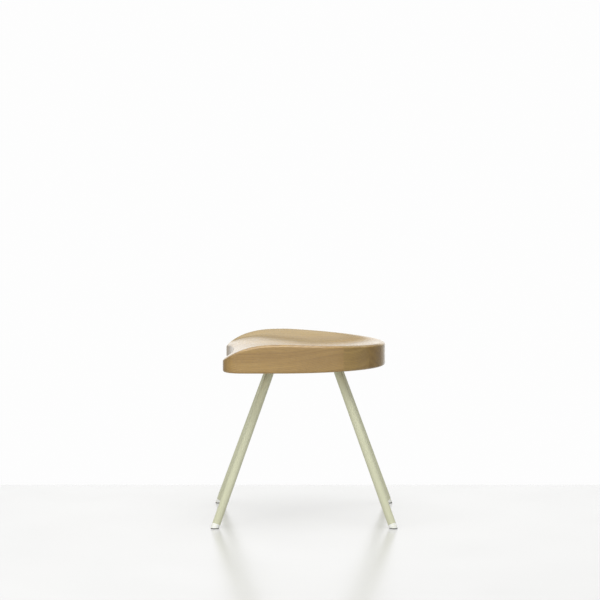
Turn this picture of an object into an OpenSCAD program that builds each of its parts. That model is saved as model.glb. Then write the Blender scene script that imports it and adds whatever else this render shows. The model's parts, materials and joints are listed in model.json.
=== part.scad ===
// A low four-legged stool: one block of oak carved into a saddle seat, on four
// splayed steel tubes that are welded to a plate under the seat.
// The front is towards -Y, the floor is z = 0 and the feet are centred on the origin.

/* [Overall] */
// Height of the rim's crest above the floor
stool_h = 450; // [370:1:560]
// Width of the seat, side to side
seat_w = 444; // [370:1:540]
// Depth of the seat, from its front corners to its back
seat_d = 400; // [340:1:490]
// How far the middle of the seat lies behind the middle of the feet
seat_back = 2; // [-10:1:10]
// Distance between the feet, side to side
foot_w = 410; // [340:1:500]
// Distance between the feet, front to back
foot_d = 435; // [360:1:530]

/* [Seat outline] */
// Distance from the front corners back to where the seat is widest
widest_at = 132; // [100:1:160]
// Radius of the front corners
corner_r = 46; // [30:1:60]
// How far the front edge curves in between its corners
front_hollow = 22; // [8:1:28]

/* [Seat carving] */
// Thickness of the block at the rim's crest
block_t = 70; // [58:1:86]
// Thickness under the middle of the dish
dish_t = 36; // [30:1:44]
// Thickness at the crest of the back
back_t = 57; // [48:1:70]
// Thickness at the front corners
corner_t = 31; // [26:1:40]
// Distance from the front corners to where the rim starts to come down
rim_falls_at = 154; // [125:1:185]
// How late the rim comes down, as a power
rim_power = 3; // [2:0.1:4]
// Height of the low rise at the front of the dish
rise_h = 10; // [4:0.5:14]
// Distance from the front corners to the top of that rise
rise_top_at = 93; // [75:1:115]
// Distance from the front corners to the foot of that rise
rise_foot_at = 238; // [200:1:285]
// How far the rise rolls down again at the middle of the front edge
front_roll = 7; // [3:0.5:10]
// Extra fall of the front edge towards its corners
corner_fall = 3; // [0:0.5:6]
// Share of the rim's height that is steep wall and not gentle bowl
wall_share = 0.6; // [0.4:0.05:0.8]
// Power of the gentle bowl
bowl_power = 1.3; // [1:0.1:2.2]
// Power of the steep wall behind the rise
wall_power = 4; // [3:0.5:6]
// Power of the steep wall at the front, where it is only a lip
lip_power = 10; // [6:0.5:14]

/* [Seat edges] */
// Width of the rounding between the crest and the side
crest_in = 13; // [8:0.5:18]
// Height of that rounding along the sides and back
crest_drop = 6.5; // [4:0.5:10]
// Height of that rounding at the front
front_drop = 3.5; // [2:0.5:6]
// Length over which the rounding changes from the one to the other
drop_run = 90; // [60:1:120]
// Radius of the bottom edge
under_r = 5; // [2:0.5:8]

/* [Legs] */
// Outside diameter of the tube
tube_d = 20; // [16:0.5:25]
// Wall of the tube
tube_wall = 2; // [1.5:0.1:2.5]
// Distance between the legs at the underside of the seat, side to side
top_w = 168; // [136:1:204]
// Distance between the legs at the underside of the seat, front to back
top_d = 160; // [130:1:194]
// Size of the weld fillet around the top of each leg
weld = 3.5; // [2:0.5:5]

/* [Mounting plate] */
// Thickness of the plate
plate_t = 4; // [3:0.5:6]
// Width of plate left outside the legs
plate_rim = 10; // [8:0.5:16]
// Corner radius of the plate
plate_r = 24; // [10:1:30]
// Diameter of the hole in the middle of the plate
plate_hole = 40; // [20:1:46]

/* [Screws] */
// Thread diameter
screw_d = 6; // [5:1:8]
// Length under the head
screw_l = 16; // [14:1:19]
// Head diameter
head_d = 10.5; // [9:0.5:12.5]
// Head height
head_h = 3.3; // [2.5:0.1:4]
// Height of the dome on the head
dome_h = 2; // [1.4:0.1:2.3]
// Diameter of the flat end of the dome
dome_flat_d = 6.5; // [6:0.1:8.5]
// Width of the hexagon socket across its flats
hex_af = 4; // [3:0.5:5]
// Depth of the hexagon socket
hex_deep = 2; // [1.5:0.1:2.4]
// Washer diameter
washer_d = 18; // [16:0.5:20]
// Washer thickness
washer_t = 1.6; // [1:0.1:2]
// Distance between the two screws on each side of the plate
screw_pair = 72; // [60:1:84]
// Distance from the edge of the plate in to the screws
screw_in = 17; // [15:0.5:20]
// Extra length of the slots across the grain, which lets the wood move
slot_play = 4; // [2:0.5:6]
// Clearance between a screw and what it passes through
screw_gap = 0.3; // [0.2:0.05:0.5]
// Clearance between a screw and the insert that it turns in
thread_gap = 0.05; // [0.02:0.01:0.1]

/* [Threaded inserts] */
// Outside diameter of an insert
insert_d = 10; // [9:0.5:12]
// Length of an insert
insert_l = 13; // [11:0.5:15]
// Depth of the grooves in its outside
groove = 0.5; // [0.3:0.1:0.8]
// Distance from one groove to the next
groove_step = 2; // [1.5:0.1:2.5]
// Clearance between an insert and its bore
insert_gap = 0.1; // [0.05:0.05:0.2]
// Space left above an insert at the end of its bore
bore_spare = 2; // [1:0.5:3]

/* [Glides] */
// Height of the cut end of the tube above the floor, at its middle
glide_h = 10; // [9:0.5:13]
// Length of the plug inside the tube
plug_l = 22; // [15:1:28]
// Clearance between the plug's rings and the tube
plug_gap = 0.1; // [0.05:0.05:0.2]
// Depth of the reliefs between the plug's rings
ring_deep = 0.8; // [0.4:0.1:1.2]
// Width of a ring
ring_w = 3; // [2:0.5:4]
// Thickness of the pad under a glide
sole_t = 1.8; // [1.2:0.1:2.5]
// How far the pad is set in from the glide's edge
sole_in = 0.5; // [0.2:0.1:1]
// Diameter of the stud that holds the pad
stud_d = 6; // [4:0.5:8]
// Length of that stud
stud_l = 3; // [2:0.5:4]
// Clearance around the stud
stud_gap = 0.15; // [0.1:0.05:0.3]

/* [Hidden] */
$fn = 48;
OAK = [0.77, 0.62, 0.41];
COATED_STEEL = [0.79, 0.80, 0.66];
BARE_STEEL = [0.72, 0.72, 0.70];
BRASS = [0.72, 0.60, 0.34];
GLIDE_WHITE = [0.90, 0.90, 0.88];
SOLE_GREY = [0.32, 0.32, 0.31];

// Heights
under_z = stool_h - block_t;
plate_z = under_z - plate_t;

// Seat outline: places along Y and the circles that it is made of
front_y = seat_back - seat_d / 2;
back_y = seat_back + seat_d / 2;
wide_y = front_y + widest_at;
hollow_y = front_y + front_hollow;
half_w = seat_w / 2;
corner_x = half_w - corner_r;
corner_y = front_y + corner_r;
hollow_r = (pow(corner_x, 2) + pow(corner_y - hollow_y, 2) - pow(corner_r, 2))
    / (2 * (corner_r - corner_y + hollow_y));
hollow_cy = hollow_y - hollow_r;
meet = atan2(corner_y - hollow_cy, corner_x);

// Points in each stretch of half the outline, and rings in each stretch of the surface
front_steps = 8;
corner_steps = 10;
side_steps = 6;
back_steps = 21;
under_steps = 3;
crest_steps = 5;
bowl_steps = 14;
bowl_spread = 1.35;

// One half of the outline from the middle of the front to the middle of the back:
// each entry is x, y and the direction that points into the seat
half_outline = concat(
    [for (k = [0:front_steps - 1]) let (t = (90 - meet) * k / front_steps)
        [hollow_r * sin(t), hollow_cy + hollow_r * cos(t), sin(t), cos(t)]],
    [for (k = [0:corner_steps - 1]) let (t = 180 + meet + (180 - meet) * k / corner_steps)
        [corner_x + corner_r * cos(t), corner_y + corner_r * sin(t), -cos(t), -sin(t)]],
    [for (k = [0:side_steps - 1])
        [half_w, corner_y + (wide_y - corner_y) * k / side_steps, -1, 0]],
    [for (k = [0:back_steps]) let (
            t = 90 * k / back_steps,
            b = back_y - wide_y,
            n = norm([b * cos(t), half_w * sin(t)]))
        [half_w * cos(t), wide_y + b * sin(t), -b * cos(t) / n, -half_w * sin(t) / n]]
);
half_n = len(half_outline);
outline = concat(
    half_outline,
    [for (k = [half_n - 2:-1:1]) let (p = half_outline[k]) [-p[0], p[1], -p[2], p[3]]]
);
outline_n = len(outline);

function clamp(t) = min(max(t, 0), 1);
function ease(t) = let (c = clamp(t)) c * c * (3 - 2 * c);
function swell(r, power) = pow(sin(90 * pow(clamp(r), power)), 2);

// Height of the rim's crest at a distance y from front to back
function rim_z(y) = let (
        down = clamp((front_y + rim_falls_at - y) / rim_falls_at),
        back = clamp((y - front_y - rim_falls_at) / (seat_d - rim_falls_at)))
    stool_h - (block_t - back_t) * pow(back, 1.1) - (block_t - corner_t) * pow(down, rim_power);

// Height of the dish's floor, which rises towards the front and rolls down at its edge
function floor_z(x, y) = let (
        up = ease((front_y + rise_foot_at - y) / (rise_foot_at - rise_top_at)),
        roll = max(0, (front_y + rise_top_at - y) / (rise_top_at - front_hollow)))
    under_z + dish_t + rise_h * up - front_roll * roll * roll
    - corner_fall * ease(roll) * pow(x / half_w, 2);

// Share of the rim's height at a share r of the way out to the crest
function wall(r, y) = let (
        front = ease((wide_y - y) / (wide_y - hollow_y)),
        power = wall_power + (lip_power - wall_power) * front)
    (1 - wall_share) * swell(r, bowl_power) + wall_share * swell(r, power);

// Distance from the middle to the crest, ahead of the widest line
function crest_x(y) = let (d = min(max(corner_y - y, 0), corner_r))
    corner_x + sqrt(corner_r * corner_r - d * d) - crest_in;

// Height ahead of the widest line, where the dish is a channel that is open to the front
function channel_z(x, y) =
    floor_z(x, y) + (rim_z(y) - floor_z(crest_x(y), y)) * wall(abs(x) / crest_x(y), y);

// Point of the dish at a share r of the way from the middle to crest point k
function dish_point(k, r) = let (
        x = k[0] * r,
        y = wide_y + (k[1] - wide_y) * r)
    [x, y, k[1] < wide_y
        ? channel_z(x, y)
        : floor_z(x, y) + (rim_z(k[1]) - floor_z(k[0], k[1])) * wall(r, wide_y)];

// Height of the carved surface outside the crest, before its edge is rounded
function rim_top(x, y, crest_y) = crest_y < wide_y ? channel_z(x, y) : rim_z(crest_y);

function inset(p, d) = [p[0] + p[2] * d, p[1] + p[3] * d];
function edge_drop(p) = front_drop + (crest_drop - front_drop) * ease((p[1] - front_y) / drop_run);

// Point of the rounding between side and crest, where a goes from 0 at the side to 90
function crest_point(p, a) = let (
        q = inset(p, crest_in * (1 - cos(a))),
        crest_y = inset(p, crest_in)[1])
    [q[0], q[1], rim_top(q[0], q[1], crest_y) - edge_drop(p) * (1 - sin(a))];

function under_point(p, a) = let (q = inset(p, under_r * (1 - sin(a))))
    [q[0], q[1], under_z + under_r * (1 - cos(a))];

// Legs: the axis from the middle of a foot up to the underside of the seat
leg_run = [(top_w - foot_w) / 2, (top_d - foot_d) / 2, under_z];
leg_l = norm(leg_run);
leg_tilt = acos(leg_run[2] / leg_l);
cut_l = glide_h / cos(leg_tilt);
bore_d = tube_d - 2 * tube_wall;
// A welded tube has a seam: here it is at the side of each leg
seam = 90;
// How far a weld's cone starts inside the tube
weld_start = 0.1;

// Plate and screw places
plate_w = top_w + tube_d + 2 * plate_rim;
plate_d = top_d + tube_d + 2 * plate_rim;
screw_x = plate_w / 2 - screw_in;
screw_y = plate_d / 2 - screw_in;
screw_places = [
    for (s = [-1, 1], t = [-1, 1]) [s * screw_x, t * screw_pair / 2],
    for (s = [-1, 1], t = [-1, 1]) [s * screw_pair / 2, t * screw_y]
];
head_z = plate_z - washer_t;
far = 1000;

// Puts its children on a leg's axis: side is -1 for left and 1 for right as one sits,
// end is -1 for front and 1 for rear
module on_leg(side, end) {
    x = -side * leg_run[0];
    y = end * leg_run[1];
    translate([-side * foot_w / 2, end * foot_d / 2, 0])
        rotate([0, leg_tilt, atan2(y, x)])
            rotate([0, 0, seam])
                children();
}

module below(z) {
    intersection() {
        children();
        translate([-far / 2, -far / 2, z - far])
            cube([far, far, far]);
    }
}

module above(z) {
    intersection() {
        children();
        translate([-far / 2, -far / 2, z])
            cube([far, far, far]);
    }
}

module at_screws() {
    for (p = screw_places)
        translate([p[0], p[1], 0])
            children();
}

module rounded_plate(w, d, r) {
    square([w - 2 * r, d], center = true);
    square([w, d - 2 * r], center = true);
    for (s = [-1, 1], t = [-1, 1])
        translate([s * (w / 2 - r), t * (d / 2 - r)])
            circle(r = r);
}

module slot(w, l) {
    square([l, w], center = true);
    for (s = [-1, 1])
        translate([s * l / 2, 0])
            circle(d = w);
}

module carved_block() {
    rings = concat(
        [for (j = [0:under_steps]) [for (p = outline) under_point(p, 90 * j / under_steps)]],
        [for (j = [0:crest_steps]) [for (p = outline) crest_point(p, 90 * j / crest_steps)]],
        [for (j = [1:bowl_steps - 1]) let (r = 1 - pow(j / bowl_steps, bowl_spread))
            [for (p = outline) dish_point(inset(p, crest_in), r)]]
    );
    last = (len(rings) - 1) * outline_n;
    bottom = len(rings) * outline_n;
    points = concat(
        [for (ring = rings) each ring],
        [[0, wide_y, under_z], [0, wide_y, floor_z(0, wide_y)]]
    );
    faces = [
        for (i = [0:outline_n - 1]) let (n = (i + 1) % outline_n) each concat(
            [[bottom, i, n], [bottom + 1, last + n, last + i]],
            [for (j = [0:len(rings) - 2]) let (low = j * outline_n, high = low + outline_n)
                each [[low + i, high + i, high + n], [low + i, high + n, low + n]]]
        )
    ];
    polyhedron(points = points, faces = faces, convexity = 6);
}

module seat() {
    color(OAK)
        difference() {
            carved_block();
            at_screws()
                translate([0, 0, under_z - bore_spare])
                    cylinder(d = insert_d + 2 * insert_gap, h = insert_l + 2 * bore_spare);
        }
}

module mounting_plate() {
    color(COATED_STEEL)
        translate([0, 0, plate_z])
            linear_extrude(plate_t)
                difference() {
                    rounded_plate(plate_w, plate_d, plate_r);
                    circle(d = plate_hole);
                    for (p = screw_places)
                        translate(p)
                            slot(screw_d + 2 * screw_gap, slot_play);
                }
}

module leg(side, end) {
    color(COATED_STEEL)
        below(plate_z)
            on_leg(side, end)
                translate([0, 0, cut_l])
                    difference() {
                        cylinder(d = tube_d, h = leg_l);
                        translate([0, 0, -1])
                            cylinder(d = bore_d, h = leg_l + 2);
                    }
}

// A fillet ring: a cone around the leg that widens up to the plate
module leg_weld(side, end) {
    plate_l = plate_z / cos(leg_tilt);
    reach = tube_d / 2 * tan(leg_tilt) + weld;
    below(plate_z)
        on_leg(side, end)
            translate([0, 0, plate_l - reach])
                difference() {
                    cylinder(r1 = tube_d / 2 - weld_start, r2 = tube_d / 2 + 2 * weld, h = 2 * reach);
                    translate([0, 0, -1])
                        cylinder(d = tube_d, h = 2 * reach + 2);
                }
}

module leg_welds() {
    color(COATED_STEEL)
        for (side = [-1, 1], end = [-1, 1])
            leg_weld(side, end);
}

module threaded_inserts() {
    grooves = floor((insert_l - groove_step) / groove_step);
    color(BRASS)
        at_screws()
            translate([0, 0, under_z])
                difference() {
                    cylinder(d = insert_d, h = insert_l);
                    translate([0, 0, -1])
                        cylinder(d = screw_d + 2 * thread_gap, h = insert_l + 2);
                    for (k = [1:grooves])
                        translate([0, 0, k * groove_step])
                            difference() {
                                cylinder(d = insert_d + 2, h = groove_step / 2);
                                cylinder(d = insert_d - 2 * groove, h = groove_step / 2);
                            }
                }
}

module seat_washers() {
    color(BARE_STEEL)
        at_screws()
            translate([0, 0, head_z])
                difference() {
                    cylinder(d = washer_d, h = washer_t);
                    translate([0, 0, -1])
                        cylinder(d = screw_d + 2 * screw_gap, h = washer_t + 2);
                }
}

module seat_screws() {
    color(BARE_STEEL)
        at_screws()
            translate([0, 0, head_z])
                difference() {
                    union() {
                        cylinder(d = screw_d, h = screw_l);
                        translate([0, 0, dome_h - head_h])
                            cylinder(d = head_d, h = head_h - dome_h);
                        translate([0, 0, -head_h])
                            cylinder(d1 = dome_flat_d, d2 = head_d, h = dome_h);
                    }
                    translate([0, 0, -head_h - 1])
                        cylinder(d = hex_af / cos(30), h = hex_deep + 1, $fn = 6);
                }
}

module glide(side, end) {
    rings = floor(plug_l / (2 * ring_w));
    color(GLIDE_WHITE)
        difference() {
            above(sole_t)
                on_leg(side, end)
                    union() {
                        translate([0, 0, -tube_d])
                            cylinder(d = tube_d, h = cut_l + tube_d);
                        cylinder(d = bore_d - 2 * plug_gap - 2 * ring_deep, h = cut_l + plug_l);
                        for (k = [1:rings])
                            translate([0, 0, cut_l + (2 * k - 1) * ring_w])
                                cylinder(d = bore_d - 2 * plug_gap, h = ring_w);
                    }
            translate([-side * foot_w / 2, end * foot_d / 2, sole_t - 1])
                cylinder(d = stud_d + 2 * stud_gap, h = stud_l + stud_gap + 1);
        }
}

module sole(side, end) {
    color(SOLE_GREY)
        union() {
            above(0)
                below(sole_t)
                    on_leg(side, end)
                        translate([0, 0, -tube_d])
                            cylinder(d = tube_d - 2 * sole_in, h = 2 * tube_d);
            translate([-side * foot_w / 2, end * foot_d / 2, sole_t / 2])
                cylinder(d = stud_d, h = sole_t / 2 + stud_l);
        }
}

seat();
mounting_plate();
leg(-1, -1);  // leg_front_left
leg(1, -1);  // leg_front_right
leg(-1, 1);  // leg_rear_left
leg(1, 1);  // leg_rear_right
leg_welds();
threaded_inserts();
seat_washers();
seat_screws();
glide(-1, -1);  // glide_front_left
glide(1, -1);  // glide_front_right
glide(-1, 1);  // glide_rear_left
glide(1, 1);  // glide_rear_right
sole(-1, -1);  // sole_front_left
sole(1, -1);  // sole_front_right
sole(-1, 1);  // sole_rear_left
sole(1, 1);  // sole_rear_right
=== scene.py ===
import bpy
import json
import math
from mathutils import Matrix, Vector


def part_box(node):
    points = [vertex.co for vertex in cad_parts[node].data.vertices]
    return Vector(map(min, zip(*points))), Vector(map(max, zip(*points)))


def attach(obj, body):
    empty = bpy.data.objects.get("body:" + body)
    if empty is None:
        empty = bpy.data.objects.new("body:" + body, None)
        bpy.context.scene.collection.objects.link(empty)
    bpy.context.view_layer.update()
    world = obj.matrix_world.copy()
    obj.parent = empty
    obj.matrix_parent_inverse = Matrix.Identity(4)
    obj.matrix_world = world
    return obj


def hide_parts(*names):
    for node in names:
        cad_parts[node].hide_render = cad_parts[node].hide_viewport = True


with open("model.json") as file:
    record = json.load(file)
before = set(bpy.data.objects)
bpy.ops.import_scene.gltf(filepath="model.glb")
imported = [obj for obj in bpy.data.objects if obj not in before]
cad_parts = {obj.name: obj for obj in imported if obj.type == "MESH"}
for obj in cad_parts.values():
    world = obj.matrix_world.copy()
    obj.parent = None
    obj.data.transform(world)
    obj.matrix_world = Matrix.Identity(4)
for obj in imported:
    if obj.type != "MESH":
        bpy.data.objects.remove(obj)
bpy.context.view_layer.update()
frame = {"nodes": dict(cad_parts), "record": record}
scene = bpy.context.scene

# Lengths below are in millimetres, in the frame's own axes: the stool's front is towards -Y.
mm = 0.001


# Shader tools

class Wire:  # a shader socket that can be used in sums
    def __init__(self, recipe, socket):
        self.recipe = recipe
        self.socket = socket

    def math(self, operation, *others):
        return self.recipe.node("Math", {"operation": operation}, [self, *others])

    def __add__(self, other):
        return self.math("ADD", other)

    def __sub__(self, other):
        return self.math("SUBTRACT", other)

    def __mul__(self, other):
        return self.math("MULTIPLY", other)

    def __truediv__(self, other):
        return self.math("DIVIDE", other)

    def __rsub__(self, other):
        return self.recipe.node("Math", {"operation": "SUBTRACT"}, [other, self])

    def __rtruediv__(self, other):
        return self.recipe.node("Math", {"operation": "DIVIDE"}, [other, self])

    __radd__ = __add__
    __rmul__ = __mul__

    def ease(self, start, end):  # 0 at start, 1 at end, smooth between them
        return self.recipe.node("MapRange", {"interpolation_type": "SMOOTHSTEP"},
                                {"Value": self, "From Min": start, "From Max": end})


class Recipe:  # the node tree of one finish, or of the surroundings
    def __init__(self, tree):
        self.tree = tree

    def node(self, kind, settings=None, sockets=None, output=0):
        made = self.tree.nodes.new("ShaderNode" + kind)
        for name, value in (settings or {}).items():
            if name in ("stops", "steps"):
                self.fillRamp(made.color_ramp, value)
                made.color_ramp.interpolation = "CONSTANT" if name == "steps" else "LINEAR"
            else:
                setattr(made, name, value)
        named = isinstance(sockets, dict)
        for name, value in (sockets.items() if named else enumerate(sockets or [])):
            if isinstance(value, Wire):
                self.tree.links.new(value.socket, made.inputs[name])
            else:
                made.inputs[name].default_value = value
        if isinstance(output, tuple):
            return [Wire(self, made.outputs[each]) for each in output]
        return Wire(self, made.outputs[output])

    def fillRamp(self, ramp, stops):
        while len(ramp.elements) < len(stops):
            ramp.elements.new(0.5)
        for element, (position, shade) in zip(ramp.elements, stops):
            element.position = position
            element.color = (*shade, 1)

    def place(self):  # the point on the surface, in millimetres
        point = self.node("TexCoord", output=3)
        return self.node("VectorMath", {"operation": "SCALE"}, {0: point, "Scale": 1000})

    def stretched(self, point, x, y, z):
        return self.node("VectorMath", {"operation": "MULTIPLY"}, [point, (x, y, z)])

    def parts(self, point):
        return self.node("SeparateXYZ", sockets=[point], output=(0, 1, 2))

    def joined(self, x, y, z):
        return self.node("CombineXYZ", sockets=[x, y, z])

    def noise(self, point, scale=1, detail=2, roughness=0.5):
        return self.node("TexNoise", {"noise_dimensions": "3D"}, {
            "Vector": point, "Scale": scale, "Detail": detail, "Roughness": roughness})

    def luck(self, number):  # three random numbers from 0 to 1 for each whole number
        shade = self.node("TexWhiteNoise", {"noise_dimensions": "1D"}, {"W": number}, output=1)
        return self.node("SeparateColor", sockets=[shade], output=(0, 1, 2))

    def mix(self, share, first, second):
        first, second = [c if isinstance(c, Wire) else (*c, 1) for c in (first, second)]
        return self.node("Mix", {"data_type": "RGBA"}, {0: share, 6: first, 7: second}, output=2)

    def bump(self, height, strength):  # height is in millimetres
        return self.node("Bump", sockets={"Strength": strength, "Distance": mm, "Height": height})


def newFinish(name):
    finish = bpy.data.materials.new(name)
    finish.use_nodes = True
    return finish, Recipe(finish.node_tree)


def closeFinish(finish, fixed, varying):  # fixed numbers go on the shader's own sockets
    shader = finish.node_tree.nodes["Principled BSDF"]
    for name, value in fixed.items():
        shader.inputs[name].default_value = value
    for name, wire in varying.items():
        finish.node_tree.links.new(wire.socket, shader.inputs[name])
    return finish


# Finishes

oakLook = {
    "pale": (0.455, 0.295, 0.083),
    "brown": (0.235, 0.133, 0.028),
    "pore": (0.12, 0.065, 0.022),
    "ray": (0.53, 0.37, 0.18),
    "red": (0.40, 0.235, 0.115),
    "olive": (0.37, 0.29, 0.13),
    "endGrain": (0.21, 0.135, 0.055),
    "poreShare": 0.55,     # how strongly three of these colours show
    "rayShare": 0.16,
    "endGrainShare": 0.42,
    "staves": [            # each stave's darkness and redness from -X to +X; 0.5 is the middle
        (0.44, 0.32), (0.60, 0.38), (0.42, 0.50), (0.66, 0.44),
        (0.46, 0.36), (0.92, 0.48), (0.64, 0.44), (0.52, 0.62)],
    "staveWidth": 57,
    "firstJoint": -222,    # where the first stave starts
    "ringStep": 3.6,
    "pithHeight": 415,
    "pithAway": 62,        # distance from the middle of a stave to the middle of its rings
    "pithSpread": 70,
    "lean": 1.5,           # how far a stave's rings may lean from lying flat, in radians
    "slope": 0.20,         # how far the pith may run out of line with the stave
    "seed": 15.3,
    "shift": 137,          # how far the figure moves on from stave to stave
    "wobble": 11,          # how far the rings wander
    "shake": 2.6,
    "tone": 0.32,          # 0 is pale and 1 is brown; the rings and the noises below are added
    "ringTone": 0.52,
    "groupTone": 1.45,
    "cloudTone": 0.70,
    "fibreTone": 0.62,
    "hairTone": 0.26,
    "rubbed": 0.27,        # roughness of the wood under its lacquer
    "coat": 0.55,
    "coatRough": 0.15,
    "relief": 0.4,
}


def oakFinish(look):
    finish, r = newFinish("lacqueredOak")
    point = r.place()
    x, y, z = r.parts(point)

    def grain(across, along, start=0, **more):  # noise drawn out along the boards
        return r.noise(r.joined(x / across + start, y / along, z / across), **more)

    stave = ((x - look["firstJoint"]) / look["staveWidth"]).math("FLOOR")
    staves = len(look["staves"])
    stops = [(k / staves, (dark, red, 0)) for k, (dark, red) in enumerate(look["staves"])]
    picked = r.node("ValToRGB", {"steps": stops}, [(stave + 0.5) / staves])
    dark, red, _ = r.node("SeparateColor", sockets=[picked], output=(0, 1, 2))
    luckA, luckB, luckC = r.luck(stave + look["seed"])
    luckD = r.luck(stave * 3.7 + look["seed"])[0]

    # the rings of each stave run round their own pith, which is not quite along the seat
    turn = (stave + 0.5) * math.pi + (luckD - 0.5) * look["lean"]
    away = luckA * look["pithSpread"] + look["pithAway"]
    middle = (stave + 0.5) * look["staveWidth"] + look["firstJoint"]
    dx = x - middle - turn.math("COSINE") * away - y * (luckB - 0.5) * look["slope"]
    dz = z - look["pithHeight"] - turn.math("SINE") * away - y * (luckC - 0.5) * look["slope"]
    shift = stave * look["shift"]
    drift = grain(95, 230, shift, detail=1)
    shake = grain(16, 85, shift)
    radius = (dx * dx + dz * dz).math("SQRT")
    radius = radius + (drift - 0.5) * look["wobble"] + (shake - 0.5) * look["shake"]
    count = radius / look["ringStep"]
    ring = count.math("FLOOR")
    along = count - ring
    ringLuck = r.luck(ring + stave * 31)[0]
    early = (1 - along.ease(0.05, 0.62)) * along.ease(0.0, 0.06)
    ringTone = early * (ringLuck * 0.75 + 0.35)

    # slow changes of tone between groups of rings and along the boards
    group = r.noise(r.joined(radius / 8, stave * 5.3, y / 400), detail=2, roughness=0.6)
    cloud = r.noise(r.joined(x / 60 + shift, y / 150, z / 45), detail=2)
    fibre = grain(1.5, 48, detail=3, roughness=0.6)
    hair = grain(0.42, 17, detail=1)

    # pores are open vessels in the early wood, long along the grain
    vessel = grain(0.5, 8, start=9, detail=1, roughness=0.4)
    pore = (vessel + early * 0.11).ease(0.665, 0.735)

    # rays are thin sheets that point at the pith
    angle = dz.math("ARCTAN2", dx)
    sheet = r.noise(r.joined(angle * 95, radius / 9, y / 9 + shift), detail=1)
    ray = sheet.ease(0.64, 0.71)

    facing = r.parts(r.node("NewGeometry", output=1))[1]
    endGrain = (facing * facing).ease(0.18, 0.95)

    tone = (dark - 0.5) + ringTone * look["ringTone"]
    for noise, weight in ((group, "groupTone"), (cloud, "cloudTone"),
                          (fibre, "fibreTone"), (hair, "hairTone")):
        tone = tone + (noise - 0.5) * look[weight]
    tone = tone + look["tone"]
    shade = r.mix(tone.math("MAXIMUM", 0).math("MINIMUM", 1), look["pale"], look["brown"])
    shade = r.mix((red - 0.5).math("MAXIMUM", 0) * 2, shade, look["red"])
    shade = r.mix((0.5 - red).math("MAXIMUM", 0) * 2, shade, look["olive"])
    shade = r.mix(ray * (1 - endGrain) * look["rayShare"], shade, look["ray"])
    shade = r.mix(endGrain * look["endGrainShare"], shade, look["endGrain"])
    shade = r.mix(pore * look["poreShare"], shade, look["pore"])

    rough = grain(34, 60)
    skin = r.noise(point, scale=0.35, detail=1)
    roughness = rough * 0.07 + pore * 0.18 + hair * 0.03 + look["rubbed"] - 0.05
    height = skin * 0.02 - pore * 0.016 - ringTone * 0.004 + fibre * 0.002
    lacquer = {"IOR": 1.5, "Coat Weight": look["coat"], "Coat Roughness": look["coatRough"]}
    return closeFinish(finish, lacquer, {
        "Base Color": shade,
        "Roughness": roughness,
        "Normal": r.bump(height, look["relief"]),
    })


coatLook = {
    "colour": (0.63, 0.635, 0.45),
    "thin": (0.56, 0.565, 0.40),
    "speck": (0.71, 0.715, 0.54),
    "scuff": (0.36, 0.36, 0.31),
    "scuffTop": 70,        # shoes and mops reach the legs below this height
    "scuffFull": 8,
    "roughness": 0.36,
    "peel": 0.03,          # height of the orange peel
}


def coatFinish(look):
    finish, r = newFinish("creamPowderCoat")
    point = r.place()
    x, y, z = r.parts(point)
    peel = r.noise(point, scale=0.75, detail=2, roughness=0.55)
    grit = r.noise(point, scale=3.4, detail=1)
    cloud = r.noise(point, scale=0.022, detail=2)
    handled = r.noise(r.joined(x / 26, y / 26, z / 70), detail=3)
    low = z.ease(look["scuffTop"], look["scuffFull"])
    scuff = r.noise(r.joined(x / 1.4, y / 1.4, z / 9), detail=2).ease(0.60, 0.72) * low
    shade = r.mix((cloud - 0.35).math("MAXIMUM", 0) * 0.6, look["colour"], look["thin"])
    shade = r.mix(grit.ease(0.62, 0.74) * 0.35, shade, look["speck"])
    shade = r.mix(grit.ease(0.36, 0.28) * 0.30, shade, look["thin"])
    shade = r.mix(scuff * 0.22, shade, look["scuff"])
    roughness = (handled - 0.5) * 0.16 + (grit - 0.5) * 0.06 + scuff * 0.12 + look["roughness"]
    return closeFinish(finish, {"IOR": 1.5}, {
        "Base Color": shade,
        "Roughness": roughness,
        "Normal": r.bump(peel * look["peel"] + grit * 0.008, 0.7),
    })


glideLook = {
    "colour": (0.86, 0.865, 0.79),
    "milk": (0.92, 0.92, 0.86),
    "rubbed": (0.52, 0.52, 0.48),
    "rubTop": 9,           # the floor rubs the glides below this height
    "rubFull": 2,
    "roughness": 0.30,
}


def glideFinish(look):
    finish, r = newFinish("milkyNylon")
    point = r.place()
    x, y, z = r.parts(point)
    flow = r.noise(r.stretched(point, 0.10, 0.10, 0.22), detail=3)
    fine = r.noise(point, scale=1.6, detail=2)
    low = z.ease(look["rubTop"], look["rubFull"])
    rubbed = r.noise(r.joined(x / 0.9, y / 0.9, z / 3), detail=2).ease(0.58, 0.70) * low
    shade = r.mix(flow.ease(0.35, 0.68), look["colour"], look["milk"])
    shade = r.mix(rubbed * 0.30, shade, look["rubbed"])
    roughness = (fine - 0.5) * 0.12 + rubbed * 0.25 + look["roughness"]
    fixed = {"IOR": 1.49, "Subsurface Weight": 0.12, "Subsurface Scale": 0.002,
             "Subsurface Radius": (1, 0.9, 0.7)}
    return closeFinish(finish, fixed, {
        "Base Color": shade,
        "Roughness": roughness,
        "Normal": r.bump(fine * 0.012 - rubbed * 0.02, 0.6),
    })


soleLook = {
    "dark": (0.050, 0.050, 0.050),
    "light": (0.13, 0.13, 0.125),
    "dust": (0.27, 0.265, 0.25),
    "roughness": 0.86,
}


def soleFinish(look):
    finish, r = newFinish("soleRubber")
    point = r.place()
    grain = r.noise(point, scale=2.1, detail=3, roughness=0.65)
    dust = r.noise(point, scale=0.28, detail=2).ease(0.45, 0.75)
    shade = r.mix(grain.ease(0.35, 0.70), look["dark"], look["light"])
    shade = r.mix(dust * 0.25, shade, look["dust"])
    return closeFinish(finish, {"Specular IOR Level": 0.35}, {
        "Base Color": shade,
        "Roughness": dust * 0.08 + look["roughness"],
        "Normal": r.bump(grain * 0.06, 0.8),
    })


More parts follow.
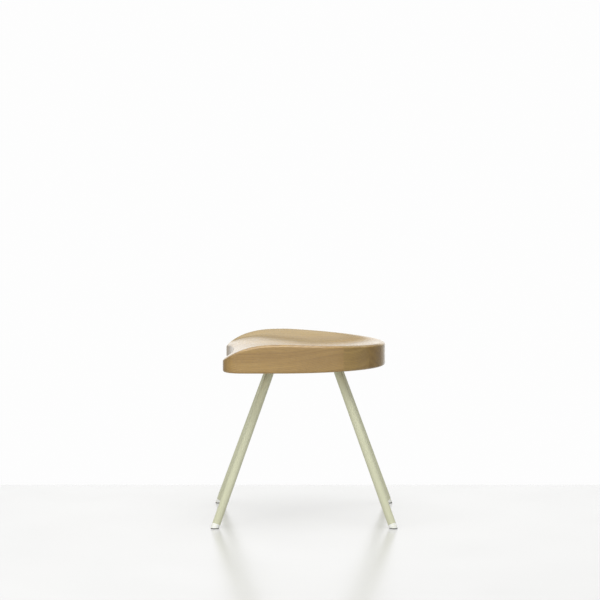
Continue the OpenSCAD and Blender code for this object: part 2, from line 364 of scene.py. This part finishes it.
zincLook = {"bright": (0.66, 0.67, 0.69), "dull": (0.47, 0.48, 0.50), "roughness": 0.30}


def zincFinish(look):
    finish, r = newFinish("platedZinc")
    point = r.place()
    spangle = r.noise(point, scale=0.45, detail=3)
    turned = r.noise(r.stretched(point, 2.6, 2.6, 0.6), detail=2)
    dull = spangle.ease(0.42, 0.66)
    shade = r.mix(dull * 0.8, look["bright"], look["dull"])
    return closeFinish(finish, {}, {
        "Base Color": shade,
        "Metallic": 1 - dull * 0.12,
        "Roughness": dull * 0.16 + (turned - 0.5) * 0.10 + look["roughness"],
        "Normal": r.bump(turned * 0.012, 0.6),
    })


brassLook = {"bright": (0.72, 0.53, 0.24), "dull": (0.42, 0.29, 0.12), "roughness": 0.28}


def brassFinish(look):
    finish, r = newFinish("turnedBrass")
    point = r.place()
    lathe = (r.parts(point)[2] * 9).math("SINE") * 0.5 + 0.5
    tarnish = r.noise(point, scale=0.5, detail=3).ease(0.42, 0.70)
    shade = r.mix(tarnish * 0.7, look["bright"], look["dull"])
    return closeFinish(finish, {}, {
        "Base Color": shade,
        "Metallic": 1 - tarnish * 0.10,
        "Roughness": tarnish * 0.20 + lathe * 0.05 + look["roughness"],
        "Normal": r.bump(lathe * 0.01, 0.6),
    })


finishes = {
    "oak": oakFinish(oakLook),
    "coated_steel": coatFinish(coatLook),
    "glide_plastic": glideFinish(glideLook),
    "sole_rubber": soleFinish(soleLook),
    "zinc_steel": zincFinish(zincLook),
    "brass": brassFinish(brassLook),
}
print("finishes mixed:", ", ".join(finishes))


# Mesh tools

def addPiece(name, points, faces, slot, nodes, crease=32):
    mesh = bpy.data.meshes.new(name)
    mesh.from_pydata([Vector(p) * mm for p in points], [], faces)
    return finishPiece(name, mesh, slot, nodes, crease)


def finishPiece(name, mesh, slot, nodes, crease):
    mesh.validate()
    mesh.update()
    mesh.shade_smooth()
    mesh.set_sharp_from_angle(angle=math.radians(crease))
    mesh.materials.clear()
    mesh.materials.append(finishes[slot])
    piece = bpy.data.objects.new(name, mesh)
    scene.collection.objects.link(piece)
    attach(piece, "root")
    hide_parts(*nodes)
    return piece


def loft(rows, loop=False):  # quads between rows of points, with a fan over each open end
    count = len(rows[0])
    points = [p for row in rows for p in row]
    faces = []
    last = len(rows) if loop else len(rows) - 1
    for j in range(last):
        low, high = j * count, (j + 1) % len(rows) * count
        for i in range(count):
            k = (i + 1) % count
            faces.append((low + i, low + k, high + k, high + i))
    if not loop:
        for row, offset, flip in ((rows[0], 0, True), (rows[-1], (len(rows) - 1) * count, False)):
            centre = len(points)
            points.append(sum((Vector(p) for p in row), Vector()) / count)
            for i in range(count):
                k = (i + 1) % count
                faces.append((offset + k, offset + i, centre) if flip
                             else (offset + i, offset + k, centre))
    return points, faces


def gather(shapes):  # several shapes as one list of points and faces
    points, faces = [], []
    for somePoints, someFaces in shapes:
        start = len(points)
        points += somePoints
        faces += [tuple(i + start for i in face) for face in someFaces]
    return points, faces


def clip(t, low=0.0, high=1.0):
    return min(max(t, low), high)


def ease(t):
    t = clip(t)
    return t * t * (3 - 2 * t)


def quarter(steps):  # angles from nothing to a right angle
    return [math.pi / 2 * k / steps for k in range(steps + 1)]


# Seat: one carved block, a bowl at the back that opens into a channel at the front

seatShape = {
    "widestAt": 132,       # from the front corners back to the widest line
    "cornerRadius": 46,
    "frontHollow": 22,
    "dishThickness": 36,
    "backThickness": 57,
    "backPower": 1.1,
    "cornerThickness": 31,
    "rimFallsAt": 154,     # from the front corners back to where the rim comes down
    "rimPower": 3,
    "riseHeight": 10,      # the low rise at the front of the dish
    "riseTopAt": 93,
    "riseFootAt": 238,
    "frontRoll": 7,
    "cornerFall": 3,
    "wallShare": 0.6,
    "bowlPower": 1.3,
    "wallPower": 4,
    "lipPower": 10,
    "crestIn": 13,
    "crestDrop": 6.5,
    "frontDrop": 3.5,
    "dropRun": 90,
    "underRadius": 5,
    "arcSteps": 700,       # points on each stretch of the outline, before they are spaced evenly
    "around": 400,         # points round the outline
    "dishRows": 46,
    "dishPower": 1.25,     # crowds the dish's rows towards the rim
    "crestRows": 10,
    "underRows": 6,
    "baseShares": (0.3, 0.6, 0.85, 0.96),              # rows of the flat underside
    "sideShares": (0.04, 0.2, 0.4, 0.6, 0.8, 0.96),    # rows of the side wall
}


class SeatSurface:
    def __init__(self, shape):
        self.shape = shape
        self.low, self.high = [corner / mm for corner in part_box("seat")]
        self.front, self.back = self.low.y, self.high.y
        self.half = self.high.x
        self.depth = self.back - self.front
        self.wide = self.front + shape["widestAt"]
        self.hollow = self.front + shape["frontHollow"]
        self.cornerX = self.half - shape["cornerRadius"]
        self.cornerY = self.front + shape["cornerRadius"]
        self.rise = self.front + shape["riseTopAt"]

    def halfOutline(self):  # x, y, and the way in, from the front's middle to the back's
        steps = self.shape["arcSteps"]
        radius = self.shape["cornerRadius"]
        drop = self.cornerY - self.hollow
        hollowRadius = (self.cornerX ** 2 + drop ** 2 - radius ** 2) / (2 * (radius - drop))
        centreY = self.hollow - hollowRadius
        meet = math.atan2(self.cornerY - centreY, self.cornerX)
        line = []
        for k in range(steps):
            t = (math.pi / 2 - meet) * k / steps
            line.append((hollowRadius * math.sin(t), centreY + hollowRadius * math.cos(t),
                         math.sin(t), math.cos(t)))
        for k in range(steps):
            t = math.pi + meet + (math.pi - meet) * k / steps
            line.append((self.cornerX + radius * math.cos(t), self.cornerY + radius * math.sin(t),
                         -math.cos(t), -math.sin(t)))
        for k in range(steps):
            line.append((self.half, self.cornerY + (self.wide - self.cornerY) * k / steps, -1, 0))
        reach = self.back - self.wide
        for t in quarter(steps):
            c, s = math.cos(t), math.sin(t)
            size = math.hypot(reach * c, self.half * s)
            line.append((self.half * c, self.wide + reach * s,
                         -reach * c / size, -self.half * s / size))
        return line

    def outline(self):  # evenly spaced points all the way round
        line = self.halfOutline()
        run = [0.0]
        for a, b in zip(line, line[1:]):
            run.append(run[-1] + math.hypot(b[0] - a[0], b[1] - a[1]))
        half = self.shape["around"] // 2
        right, k = [], 0
        for i in range(half + 1):
            goal = run[-1] * i / half
            while k < len(run) - 2 and run[k + 1] < goal:
                k += 1
            t = clip((goal - run[k]) / max(run[k + 1] - run[k], 1e-9))
            right.append(tuple(a + (b - a) * t for a, b in zip(line[k], line[k + 1])))
        left = [(-x, y, -inX, inY) for x, y, inX, inY in right[-2:0:-1]]
        return right + left

    def rim(self, y):
        s = self.shape
        thick = self.high.z - self.low.z
        down = clip((self.front + s["rimFallsAt"] - y) / s["rimFallsAt"])
        back = clip((y - self.front - s["rimFallsAt"]) / (self.depth - s["rimFallsAt"]))
        return (self.high.z - (thick - s["backThickness"]) * back ** s["backPower"]
                - (thick - s["cornerThickness"]) * down ** s["rimPower"])

    def floor(self, x, y):
        s = self.shape
        up = ease((self.front + s["riseFootAt"] - y) / (s["riseFootAt"] - s["riseTopAt"]))
        roll = max(0.0, (self.rise - y) / (s["riseTopAt"] - s["frontHollow"]))
        return (self.low.z + s["dishThickness"] + s["riseHeight"] * up - s["frontRoll"] * roll ** 2
                - s["cornerFall"] * ease(roll) * (x / self.half) ** 2)

    def wall(self, share, y):
        s = self.shape
        forward = ease((self.wide - y) / (self.wide - self.hollow))
        power = s["wallPower"] + (s["lipPower"] - s["wallPower"]) * forward
        bowl = math.sin(math.pi / 2 * clip(share) ** s["bowlPower"]) ** 2
        steep = math.sin(math.pi / 2 * clip(share) ** power) ** 2
        return (1 - s["wallShare"]) * bowl + s["wallShare"] * steep

    def crestX(self, y):
        radius = self.shape["cornerRadius"]
        d = clip(self.cornerY - y, 0, radius)
        return self.cornerX + math.sqrt(radius ** 2 - d ** 2) - self.shape["crestIn"]

    def channel(self, x, y):
        crest = self.crestX(y)
        floor = self.floor(x, y)
        return floor + (self.rim(y) - self.floor(crest, y)) * self.wall(abs(x) / crest, y)

    def dish(self, crest, share):
        x, y = crest[0] * share, self.wide + (crest[1] - self.wide) * share
        if crest[1] < self.wide:
            return x, y, self.channel(x, y)
        rise = self.rim(crest[1]) - self.floor(crest[0], crest[1])
        return x, y, self.floor(x, y) + rise * self.wall(share, self.wide)

    def edgeDrop(self, spot):
        s = self.shape
        back = ease((spot[1] - self.front) / s["dropRun"])
        return s["frontDrop"] + (s["crestDrop"] - s["frontDrop"]) * back

    def crest(self, spot, angle):
        s = self.shape
        x, y = inset(spot, s["crestIn"] * (1 - math.cos(angle)))
        crestY = inset(spot, s["crestIn"])[1]
        top = self.channel(x, y) if crestY < self.wide else self.rim(crestY)
        return x, y, top - self.edgeDrop(spot) * (1 - math.sin(angle))

    def under(self, spot, angle):
        radius = self.shape["underRadius"]
        x, y = inset(spot, radius * (1 - math.sin(angle)))
        return x, y, self.low.z + radius * (1 - math.cos(angle))

    def rows(self):
        s = self.shape
        spots = self.outline()
        rows = [[(x * f, self.wide + (y - self.wide) * f, self.low.z) for x, y, *_ in
                 [self.under(spot, 0) for spot in spots]] for f in s["baseShares"]]
        for angle in quarter(s["underRows"]):
            rows.append([self.under(spot, angle) for spot in spots])
        start, end = rows[-1], [self.crest(spot, 0) for spot in spots]
        for f in s["sideShares"]:
            rows.append([Vector(a).lerp(Vector(b), f) for a, b in zip(start, end)])
        for angle in quarter(s["crestRows"]):
            rows.append([self.crest(spot, angle) for spot in spots])
        inner = [inset(spot, s["crestIn"]) for spot in spots]
        for j in range(1, s["dishRows"]):
            share = 1 - (j / s["dishRows"]) ** s["dishPower"]
            rows.append([self.dish(crest, share) for crest in inner])
        low, high = self.low, self.high
        return [[(clip(x, low.x, high.x), clip(y, low.y, high.y), clip(z, low.z, high.z))
                 for x, y, z in row] for row in rows]


def inset(spot, distance):
    return spot[0] + spot[2] * distance, spot[1] + spot[3] * distance


seatPoints, seatFaces = loft(SeatSurface(seatShape).rows())
addPiece("carvedSeat", seatPoints, seatFaces, "oak", ["seat"], crease=60)
print("seat carved:", len(seatFaces), "faces")


# Legs: straight tubes, square at the foot and mitred to the plate at the top

legShape = {
    "tube": 20,
    "wall": 2,
    "topWidth": 168,       # between the legs' axes at the seat's underside
    "topDepth": 160,
    "footCut": 10,         # height of the middle of the tube's cut end
    "edge": 0.45,          # rounding of the cut end under its coat
    "edgeSteps": 4,
    "stations": (0.004, 0.1, 0.3, 0.5, 0.7, 0.9, 0.996, 1),    # rows of points up the tube
    "around": 96,
}

plateLow, plateHigh = [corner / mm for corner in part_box("mounting_plate")]


class Leg:  # points about one leg's axis, by their length along it or by their height
    def __init__(self, mount):
        self.place = mount["name"].replace("foot_", "")
        self.foot = Vector(mount["pos_m"]) / mm
        x, y = [math.copysign(legShape[k] / 2, v) for k, v in
                (("topWidth", self.foot.x), ("topDepth", self.foot.y))]
        self.along = (Vector((x, y, plateHigh.z)) - self.foot).normalized()
        flat = Vector((self.foot.x, self.foot.y, 0))
        self.out = (flat - self.along * flat.dot(self.along)).normalized()
        self.across = self.along.cross(self.out)
        self.turn = math.atan2(self.out.y, self.out.x)
        self.cut = legShape["footCut"] / self.along.z

    def spoke(self, angle, radius):
        return self.foot + (self.out * math.cos(angle) + self.across * math.sin(angle)) * radius

    def byLength(self, angle, radius, length):
        return self.spoke(angle, radius) + self.along * length

    def byHeight(self, angle, radius, height):
        start = self.spoke(angle, radius)
        return start + self.along * ((height - start.z) / self.along.z)


def circle(count):
    return [2 * math.pi * i / count for i in range(count)]


legs = [Leg(mount) for mount in frame["record"]["mounts"]]
for leg in legs:
    turns = circle(legShape["around"])
    outer, inner = legShape["tube"] / 2, legShape["tube"] / 2 - legShape["wall"]
    edge = legShape["edge"]
    rows = []
    for a in quarter(legShape["edgeSteps"]):  # the rounded outer edge of the cut end
        rows.append([leg.byLength(t, outer - edge * (1 - math.sin(a)),
                                  leg.cut + edge * (1 - math.cos(a))) for t in turns])
    for share in legShape["stations"]:
        rows.append([leg.byLength(t, outer, leg.cut + edge).lerp(
            leg.byHeight(t, outer, plateLow.z), share) for t in turns])
    rows.append([leg.byHeight(t, inner, plateLow.z) for t in turns])
    for a in quarter(legShape["edgeSteps"]):  # and its inner edge
        rows.append([leg.byLength(t, inner + edge * (1 - math.cos(a)),
                                  leg.cut + edge * (1 - math.sin(a))) for t in turns])
    points, faces = loft(rows, loop=True)
    addPiece("leg_" + leg.place + "_tube", points, faces, "coated_steel", ["leg_" + leg.place])
print("legs drawn:", len(legs))


# Welds: a rippled bead round the top of each leg

weldShape = {
    "size": 3.4,
    "ripples": 34,
    "ripple": 0.16,        # how far a ripple swells, as a share of the size
    "uneven": ((5, 0.05), (13, 0.03)),    # slow swellings: how many in a turn, and their share
    "bulge": 0.20,
    "samples": 9,          # points along one ripple
    "across": 7,           # steps across the bead's face
    "intoTube": 0.15,
    "intoPlate": 0.1,
}


def weldBead(leg):
    s = weldShape
    outer = legShape["tube"] / 2
    rows = []
    for i in range(s["ripples"] * s["samples"]):
        t = 2 * math.pi * i / (s["ripples"] * s["samples"])
        phase = (i % s["samples"]) / s["samples"]
        swell = 1 - s["ripple"] * (1 - math.sin(math.pi * phase ** 0.7))
        uneven = 1
        for (times, share), start in zip(s["uneven"], leg.foot):
            uneven += share * math.sin(times * t + start)
        swell *= uneven
        root = plateLow.z + s["intoPlate"]
        corner = leg.byHeight(t, outer - s["intoTube"], root)
        away = leg.byHeight(t, outer + 5, root) - corner
        away = away.normalized() * s["size"] * swell
        down = leg.along * -s["size"] * swell
        section = [corner + down * 0.98]
        for k in range(1, s["across"]):
            f = k / s["across"]
            hump = s["bulge"] * math.sin(math.pi * f)
            section.append(corner + down * (1 - f) * (1 + hump) + away * f * (1 + hump))
        rows.append(section + [corner + away, corner])
    return loft(rows, loop=True)


weldPoints, weldFaces = gather([weldBead(leg) for leg in legs])
addPiece("weldBeads", weldPoints, weldFaces, "coated_steel", ["leg_welds"], crease=50)
print("welds laid")


# Plate: flat steel with slotted holes, its edges rounded by the coat

plateShape = {
    "corner": 24,
    "hole": 40,
    "edge": 0.6,
    "slotWide": 6.6,
    "slotPlay": 4,         # how much longer than wide each slot is, across the grain
    "screwPair": 72,
    "screwIn": 17,
}

plateMiddle = (plateLow + plateHigh) / 2
screwX = plateHigh.x - plateShape["screwIn"]
screwY = plateHigh.y - plateShape["screwIn"]
screwSpots = [(s * screwX, t * plateShape["screwPair"] / 2) for s in (-1, 1) for t in (-1, 1)]
screwSpots += [(s * plateShape["screwPair"] / 2, t * screwY) for s in (-1, 1) for t in (-1, 1)]


def roundedLoop(centre, halfX, halfY, radius, steps=16):
    loop = []
    for quarter, (sx, sy) in enumerate(((1, 1), (-1, 1), (-1, -1), (1, -1))):
        for k in range(steps + 1):
            t = math.pi / 2 * (quarter + k / steps)
            loop.append((centre[0] + sx * (halfX - radius) + radius * math.cos(t),
                         centre[1] + sy * (halfY - radius) + radius * math.sin(t)))
    return [p for p, q in zip(loop, loop[1:] + loop[:1]) if math.dist(p, q) > 1e-6]


def cutSheet(name, loops, low, high, edge):  # a flat sheet with holes, through a filled curve
    curve = bpy.data.curves.new(name, "CURVE")
    curve.dimensions = "2D"
    curve.fill_mode = "BOTH"
    curve.extrude = ((high - low) / 2 - edge) * mm
    curve.bevel_depth = edge * mm
    curve.bevel_resolution = 3
    curve.offset = -edge * mm
    for loop in loops:
        spline = curve.splines.new("POLY")
        spline.points.add(len(loop) - 1)
        for spot, point in zip(loop, spline.points):
            point.co = (spot[0] * mm, spot[1] * mm, 0, 1)
        spline.use_cyclic_u = True
    holder = bpy.data.objects.new(name + "Curve", curve)
    scene.collection.objects.link(holder)
    bpy.context.view_layer.update()
    graph = bpy.context.evaluated_depsgraph_get()
    mesh = bpy.data.meshes.new_from_object(holder.evaluated_get(graph))
    bpy.data.objects.remove(holder)
    bpy.data.curves.remove(curve)
    for vertex in mesh.vertices:
        vertex.co.z += (low + high) / 2 * mm
    return mesh


hole = plateShape["hole"] / 2
wide = plateShape["slotWide"] / 2
plateLoops = [roundedLoop(plateMiddle, plateHigh.x, plateHigh.y, plateShape["corner"]),
              roundedLoop(plateMiddle, hole, hole, hole)]
for spot in screwSpots:
    plateLoops.append(roundedLoop(spot, wide + plateShape["slotPlay"] / 2, wide, wide, steps=8))
plateMesh = cutSheet("plateSheet", plateLoops, plateLow.z, plateHigh.z, plateShape["edge"])
finishPiece("mountingPlate", plateMesh, "coated_steel", ["mounting_plate"], 25)
print("plate cut with", len(screwSpots), "slots")


# Screws and washers: round parts that are turned about their own upright axes

screwShape = {
    "washer": 18,
    "washerThick": 1.6,
    "washerHole": 6.6,
    "washerEdge": 0.3,
    "shank": 6,
    "shankLong": 16,
    "head": 10.5,
    "headHigh": 3.3,
    "headRim": 0.5,        # the straight part of the head, below its dome
    "domeSteps": 8,
    "endChamfer": 0.6,
    "hexWide": 4,          # across the flats of the socket
    "hexDeep": 2,
    "around": 48,
}


def hexRadius(angle, wide):
    sixth = math.pi / 3
    return wide / 2 / math.cos((angle % sixth) - sixth / 2)


def turned(spot, profile, loop=False):  # each row is a radius, or a hexagon, and a height
    rows = []
    for radius, height in profile:
        row = []
        for t in circle(screwShape["around"]):
            reach = hexRadius(t, radius[0]) if isinstance(radius, tuple) else radius
            row.append((spot[0] + reach * math.cos(t), spot[1] + reach * math.sin(t), height))
        rows.append(row)
    return loft(rows, loop)


headZ = plateLow.z - screwShape["washerThick"]


def washerProfile(s):
    r, hole, e = s["washer"] / 2, s["washerHole"] / 2, s["washerEdge"]
    low, high = headZ, plateLow.z
    return [(hole, low + e), (hole + e, low), (r - 1.2, low), (r - 0.4, low + 0.12), (r, low + 0.5),
            (r, high - 0.12), (r - 0.12, high), (hole + e, high), (hole, high - e)]


def screwProfile(s):
    r, low = s["head"] / 2, headZ - s["headHigh"]
    hexagon = s["hexWide"]
    deep = low + s["hexDeep"]
    rows = [(0.8, deep + 0.35), ((hexagon - 0.1,), deep), ((hexagon,), deep - 0.1),
            ((hexagon,), low + 0.25), ((hexagon + 0.5,), low)]
    top = hexagon / 2 + 0.9
    for t in quarter(s["domeSteps"]):
        dome = (s["headHigh"] - s["headRim"]) * math.cos(t)
        rows.append((top + (r - top) * math.sin(t), headZ - s["headRim"] - dome))
    shank, end = s["shank"] / 2, headZ + s["shankLong"]
    chamfer = s["endChamfer"]
    return rows + [(r, headZ - 0.15), (r - 0.15, headZ), (shank + 0.25, headZ),
                   (shank, headZ + 0.3), (shank, end - chamfer), (shank - chamfer, end)]


washers = gather([turned(spot, washerProfile(screwShape), loop=True) for spot in screwSpots])
addPiece("washerRings", *washers, "zinc_steel", ["seat_washers"], crease=35)
screws = gather([turned(spot, screwProfile(screwShape)) for spot in screwSpots])
addPiece("buttonScrews", *screws, "zinc_steel", ["seat_screws"], crease=35)
frame["nodes"]["threaded_inserts"].data.materials.clear()
frame["nodes"]["threaded_inserts"].data.materials.append(finishes["brass"])
print("screws and washers turned:", len(screwSpots))


# Glides and soles: slanted plugs whose lower faces lie level on their pads

footShape = {
    "soleThick": 1.8,
    "soleIn": 0.5,
    "edge": 0.5,
    "edgeSteps": 4,
    "soleEdge": 0.35,
    "soleSteps": 3,
    "seam": 0.12,          # the ridge that the mould left down two sides
    "plug": 15.8,
    "plugLong": 22,
    "ring": 3,
    "ringDeep": 0.8,
    "stud": 6,
    "studLong": 3,
    "around": 96,
}


def glideRows(leg):
    s = footShape
    turns = circle(s["around"])
    outer = legShape["tube"] / 2
    flat, edge = s["soleThick"], s["edge"]

    def swollen(t, radius):  # a mould seam stands on the two flanks
        return radius - s["seam"] * (1 - math.exp(-((math.cos(t) / 0.05) ** 2)))

    rows = []
    for a in quarter(s["edgeSteps"]):
        rows.append([leg.byHeight(t, swollen(t, outer - edge * (1 - math.sin(a))),
                                  flat + edge * (1 - math.cos(a))) for t in turns])
    top = [leg.byLength(t, swollen(t, outer), leg.cut - edge) for t in turns]
    for share in (0.1, 0.5, 0.9, 1):
        rows.append([a.lerp(b, share) for a, b in zip(rows[s["edgeSteps"]], top)])
    for a in quarter(s["edgeSteps"])[1:]:
        rows.append([leg.byLength(t, swollen(t, outer - edge * (1 - math.cos(a))),
                                  leg.cut - edge * (1 - math.sin(a))) for t in turns])
    wide, slim = s["plug"] / 2, s["plug"] / 2 - s["ringDeep"]
    rows.append([leg.byLength(t, slim, leg.cut - 0.02) for t in turns])
    for k in range(int(s["plugLong"] / 2 / s["ring"])):
        start = leg.cut + (2 * k + 1) * s["ring"]
        for radius, length in ((slim, start), (wide, start + 0.2), (wide, start + s["ring"] * 0.6),
                               (slim, start + s["ring"])):
            rows.append([leg.byLength(t, radius, length) for t in turns])
    rows.append([leg.byLength(t, slim, leg.cut + s["plugLong"]) for t in turns])
    return rows


def soleRows(leg):
    s = footShape
    turns = circle(s["around"])
    radius = legShape["tube"] / 2 - s["soleIn"]
    rows = [[leg.byHeight(t, radius * f, 0) for t in turns] for f in (0.5, 0.9)]
    edge = s["soleEdge"]
    for a in quarter(s["soleSteps"]):
        rows.append([leg.byHeight(t, radius - edge * (1 - math.sin(a)), edge * (1 - math.cos(a)))
                     for t in turns])
    rows.append([leg.byHeight(t, radius, s["soleThick"] - 0.1) for t in turns])
    rows.append([leg.byHeight(t, radius - 0.15, s["soleThick"]) for t in turns])
    stud = s["stud"] / 2
    for height in (s["soleThick"], s["soleThick"] + s["studLong"] - 0.4):
        rows.append([leg.foot + Vector((stud * math.cos(t + leg.turn),
                                        stud * math.sin(t + leg.turn), height)) for t in turns])
    return rows


for leg in legs:
    glide, sole = "glide_" + leg.place, "sole_" + leg.place
    addPiece(glide + "_plug", *loft(glideRows(leg)), "glide_plastic", [glide])
    addPiece(sole + "_pad", *loft(soleRows(leg)), "sole_rubber", [sole])
print("feet fitted")


# Studio: a pale floor that ends behind the stool, white surroundings and soft lamps

studio = {
    "floorSpan": ((-0.521, -9), (14, 9)),    # two opposite corners, in metres
    "floorDrop": 0.1,      # keeps the floor's face apart from the soles'
    "floorShade": (0.35, 0.35, 0.345),
    "floorCloud": (0.31, 0.31, 0.30),
    "floorGlow": 0.24,     # light that comes through the floor's white sheet
    "floorRoughness": 0.22,
    "round": [             # brightness of the walls, from behind the stool round to the front
        (0.0, 1.30), (0.012, 1.20), (0.05, 0.60), (0.13, 0.30), (0.30, 0.22),
        (0.64, 0.24), (0.80, 1.12), (1.0, 1.34)],
    "wallTop": (0.20, 0.41),   # the walls fade between these heights, as the sine of the angle
    "gap": 0.36,
    "ceilingEdge": (0.42, 0.68),
    "ceiling": [(0.0, 1.15), (0.5, 0.80), (1.0, 0.45)],    # from behind the stool to the front
    "shown": (0.985, 0.985, 0.985),
    "lamps": {
        "topLamp": {"at": (0.6, 0.1, 2.6), "size": 2.4, "power": 44, "mirrored": True},
        "sideLamp": {"at": (1.9, -1.45, 0.9), "size": 1.0, "power": 10, "mirrored": False},
    },
    "lampsAim": (0, 0, 0.4),
    "cameraAt": (7.2, -0.010, 1.139),
    "cameraDown": 4.75,    # degrees below level, looking along -X
    "focal": 174.2,
    "sensor": 36,
}


def floorFinish(look):
    finish, r = newFinish("studioFloor")
    point = r.place()
    cloud = r.noise(point, scale=0.004, detail=2)
    cloudy = (cloud - 0.3).math("MAXIMUM", 0) * 0.06
    shade = r.mix(cloudy, look["floorShade"], look["floorCloud"])
    glow = {"Emission Color": (1, 1, 0.99, 1), "Emission Strength": look["floorGlow"]}
    return closeFinish(finish, {"IOR": 1.45, **glow}, {
        "Base Color": shade,
        "Roughness": cloud * 0.06 + look["floorRoughness"] - 0.03,
    })


floorMesh = bpy.data.meshes.new("floor")
(lowX, lowY), (highX, highY) = studio["floorSpan"]
floorCorners = ((lowX, lowY), (highX, lowY), (highX, highY), (lowX, highY))
floorMesh.from_pydata([(x, y, -studio["floorDrop"] * mm) for x, y in floorCorners],
                      [], [(0, 1, 2, 3)])
floorMesh.materials.append(floorFinish(studio))
floor = bpy.data.objects.new("floor", floorMesh)
scene.collection.objects.link(floor)

world = bpy.data.worlds.new("studio")
scene.world = world
world.use_nodes = True
room = Recipe(world.node_tree)
east, north, upward = room.parts(room.node("TexCoord", output=0))
level = (east * east + north * north).math("SQRT").math("MAXIMUM", 0.001)


def greys(stops, where):
    return room.node("ValToRGB", {"stops": [(at, (v, v, v)) for at, v in stops]}, [where])


walls = greys(studio["round"], east / level * 0.5 + 0.5)
light = room.mix(upward.ease(*studio["wallTop"]), walls, (studio["gap"],) * 3)
light = room.mix(upward.ease(*studio["ceilingEdge"]), light,
                 greys(studio["ceiling"], east * 0.5 + 0.5))
seen = room.node("LightPath", output=0)
background = world.node_tree.nodes["Background"]
world.node_tree.links.new(room.mix(seen, light, studio["shown"]).socket, background.inputs["Color"])

for name, lamp in studio["lamps"].items():
    data = bpy.data.lights.new(name, "AREA")
    data.size = lamp["size"]
    data.energy = lamp["power"]
    holder = bpy.data.objects.new(name, data)
    holder.location = lamp["at"]
    holder.visible_glossy = lamp["mirrored"]
    aim = Vector(studio["lampsAim"]) - holder.location
    holder.rotation_euler = aim.to_track_quat("-Z", "Y").to_euler()
    scene.collection.objects.link(holder)

lens = bpy.data.cameras.new("camera")
lens.sensor_width = studio["sensor"]
lens.lens = studio["focal"]
lens.clip_end = 100
camera = bpy.data.objects.new("camera", lens)
camera.location = studio["cameraAt"]
camera.rotation_euler = (math.radians(90 - studio["cameraDown"]), 0, math.radians(90))
scene.collection.objects.link(camera)
scene.camera = camera
scene.view_settings.view_transform = "Standard"
print("studio set")
